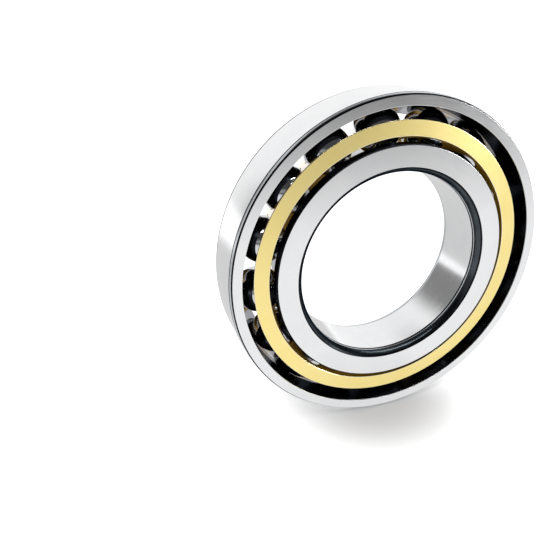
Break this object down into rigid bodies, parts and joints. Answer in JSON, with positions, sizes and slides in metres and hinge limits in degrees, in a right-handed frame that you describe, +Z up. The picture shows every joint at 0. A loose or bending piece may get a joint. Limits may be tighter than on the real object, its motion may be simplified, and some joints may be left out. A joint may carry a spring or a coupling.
{
  "type": "angular contact ball bearing",
  "caption": "Single-row angular contact ball bearing with counterbored steel rings, steel balls and a machined brass cage; takes radial load and thrust one way.",
  "frame": {"origin": "centre of the bearing, on the shaft axis, midway between its two faces", "axes": "+Y along the shaft axis, from the front (wide inner-ring face, thin outer-ring face) to the back (wide outer-ring face); +Z up as the bearing stands on its rim"},
  "size_m": [0.14, 0.026, 0.14],
  "materials": {
    "ring_steel": "ground",
    "ball_steel": "polished",
    "cage_brass": "fine turned"
  },
  "bodies": {
    "outer_ring": {"outer_ring": "ring_steel"},
    "inner_ring": {"inner_ring": "ring_steel"},
    "cage": {"cage": "cage_brass"},
    "ball_01": {"ball_01": "ball_steel"},
    "ball_02": {"ball_02": "ball_steel"},
    "ball_03": {"ball_03": "ball_steel"},
    "ball_04": {"ball_04": "ball_steel"},
    "ball_05": {"ball_05": "ball_steel"},
    "ball_06": {"ball_06": "ball_steel"},
    "ball_07": {"ball_07": "ball_steel"},
    "ball_08": {"ball_08": "ball_steel"},
    "ball_09": {"ball_09": "ball_steel"},
    "ball_10": {"ball_10": "ball_steel"},
    "ball_11": {"ball_11": "ball_steel"},
    "ball_12": {"ball_12": "ball_steel"},
    "ball_13": {"ball_13": "ball_steel"},
    "ball_14": {"ball_14": "ball_steel"},
    "ball_15": {"ball_15": "ball_steel"},
    "ball_16": {"ball_16": "ball_steel"}
  },
  "joints": [
    {"name": "inner_spin", "type": "hinge", "parent": "outer_ring", "child": "inner_ring", "pos_m": [0, 0, 0], "axis": [0, 1, 0], "continuous": true},
    {"name": "cage_spin", "type": "hinge", "parent": "outer_ring", "child": "cage", "pos_m": [0, 0, 0], "axis": [0, 1, 0], "continuous": true},
    {"name": "ball_01_spin", "type": "hinge", "parent": "cage", "child": "ball_01", "pos_m": [0.05494, 0, 0.00626], "axis": [-0.6387, 0.766, -0.0728], "continuous": true},
    {"name": "ball_02_spin", "type": "hinge", "parent": "cage", "child": "ball_02", "pos_m": [0.04837, 0, 0.02681], "axis": [-0.5622, 0.766, -0.3116], "continuous": true},
    {"name": "ball_03_spin", "type": "hinge", "parent": "cage", "child": "ball_03", "pos_m": [0.03443, 0, 0.04328], "axis": [-0.4001, 0.766, -0.5031], "continuous": true},
    {"name": "ball_04_spin", "type": "hinge", "parent": "cage", "child": "ball_04", "pos_m": [0.01524, 0, 0.05316], "axis": [-0.1772, 0.766, -0.6179], "continuous": true},
    {"name": "ball_05_spin", "type": "hinge", "parent": "cage", "child": "ball_05", "pos_m": [-0.00626, 0, 0.05494], "axis": [0.0728, 0.766, -0.6387], "continuous": true},
    {"name": "ball_06_spin", "type": "hinge", "parent": "cage", "child": "ball_06", "pos_m": [-0.02681, 0, 0.04837], "axis": [0.3116, 0.766, -0.5622], "continuous": true},
    {"name": "ball_07_spin", "type": "hinge", "parent": "cage", "child": "ball_07", "pos_m": [-0.04328, 0, 0.03443], "axis": [0.5031, 0.766, -0.4001], "continuous": true},
    {"name": "ball_08_spin", "type": "hinge", "parent": "cage", "child": "ball_08", "pos_m": [-0.05316, 0, 0.01524], "axis": [0.6179, 0.766, -0.1772], "continuous": true},
    {"name": "ball_09_spin", "type": "hinge", "parent": "cage", "child": "ball_09", "pos_m": [-0.05494, 0, -0.00626], "axis": [0.6387, 0.766, 0.0728], "continuous": true},
    {"name": "ball_10_spin", "type": "hinge", "parent": "cage", "child": "ball_10", "pos_m": [-0.04837, 0, -0.02681], "axis": [0.5622, 0.766, 0.3116], "continuous": true},
    {"name": "ball_11_spin", "type": "hinge", "parent": "cage", "child": "ball_11", "pos_m": [-0.03443, 0, -0.04328], "axis": [0.4001, 0.766, 0.5031], "continuous": true},
    {"name": "ball_12_spin", "type": "hinge", "parent": "cage", "child": "ball_12", "pos_m": [-0.01524, 0, -0.05316], "axis": [0.1772, 0.766, 0.6179], "continuous": true},
    {"name": "ball_13_spin", "type": "hinge", "parent": "cage", "child": "ball_13", "pos_m": [0.00626, 0, -0.05494], "axis": [-0.0728, 0.766, 0.6387], "continuous": true},
    {"name": "ball_14_spin", "type": "hinge", "parent": "cage", "child": "ball_14", "pos_m": [0.02681, 0, -0.04837], "axis": [-0.3116, 0.766, 0.5622], "continuous": true},
    {"name": "ball_15_spin", "type": "hinge", "parent": "cage", "child": "ball_15", "pos_m": [0.04328, 0, -0.03443], "axis": [-0.5031, 0.766, 0.4001], "continuous": true},
    {"name": "ball_16_spin", "type": "hinge", "parent": "cage", "child": "ball_16", "pos_m": [0.05316, 0, -0.01524], "axis": [-0.6179, 0.766, 0.1772], "continuous": true}
  ],
  "couplings": [
    {"joint": "cage_spin", "follows": "inner_spin", "ratio": 0.43403},
    {"joint": "ball_01_spin", "follows": "inner_spin", "ratio": -2.8523},
    {"joint": "ball_02_spin", "follows": "inner_spin", "ratio": -2.8523},
    {"joint": "ball_03_spin", "follows": "inner_spin", "ratio": -2.8523},
    {"joint": "ball_04_spin", "follows": "inner_spin", "ratio": -2.8523},
    {"joint": "ball_05_spin", "follows": "inner_spin", "ratio": -2.8523},
    {"joint": "ball_06_spin", "follows": "inner_spin", "ratio": -2.8523},
    {"joint": "ball_07_spin", "follows": "inner_spin", "ratio": -2.8523},
    {"joint": "ball_08_spin", "follows": "inner_spin", "ratio": -2.8523},
    {"joint": "ball_09_spin", "follows": "inner_spin", "ratio": -2.8523},
    {"joint": "ball_10_spin", "follows": "inner_spin", "ratio": -2.8523},
    {"joint": "ball_11_spin", "follows": "inner_spin", "ratio": -2.8523},
    {"joint": "ball_12_spin", "follows": "inner_spin", "ratio": -2.8523},
    {"joint": "ball_13_spin", "follows": "inner_spin", "ratio": -2.8523},
    {"joint": "ball_14_spin", "follows": "inner_spin", "ratio": -2.8523},
    {"joint": "ball_15_spin", "follows": "inner_spin", "ratio": -2.8523},
    {"joint": "ball_16_spin", "follows": "inner_spin", "ratio": -2.8523}
  ]
}
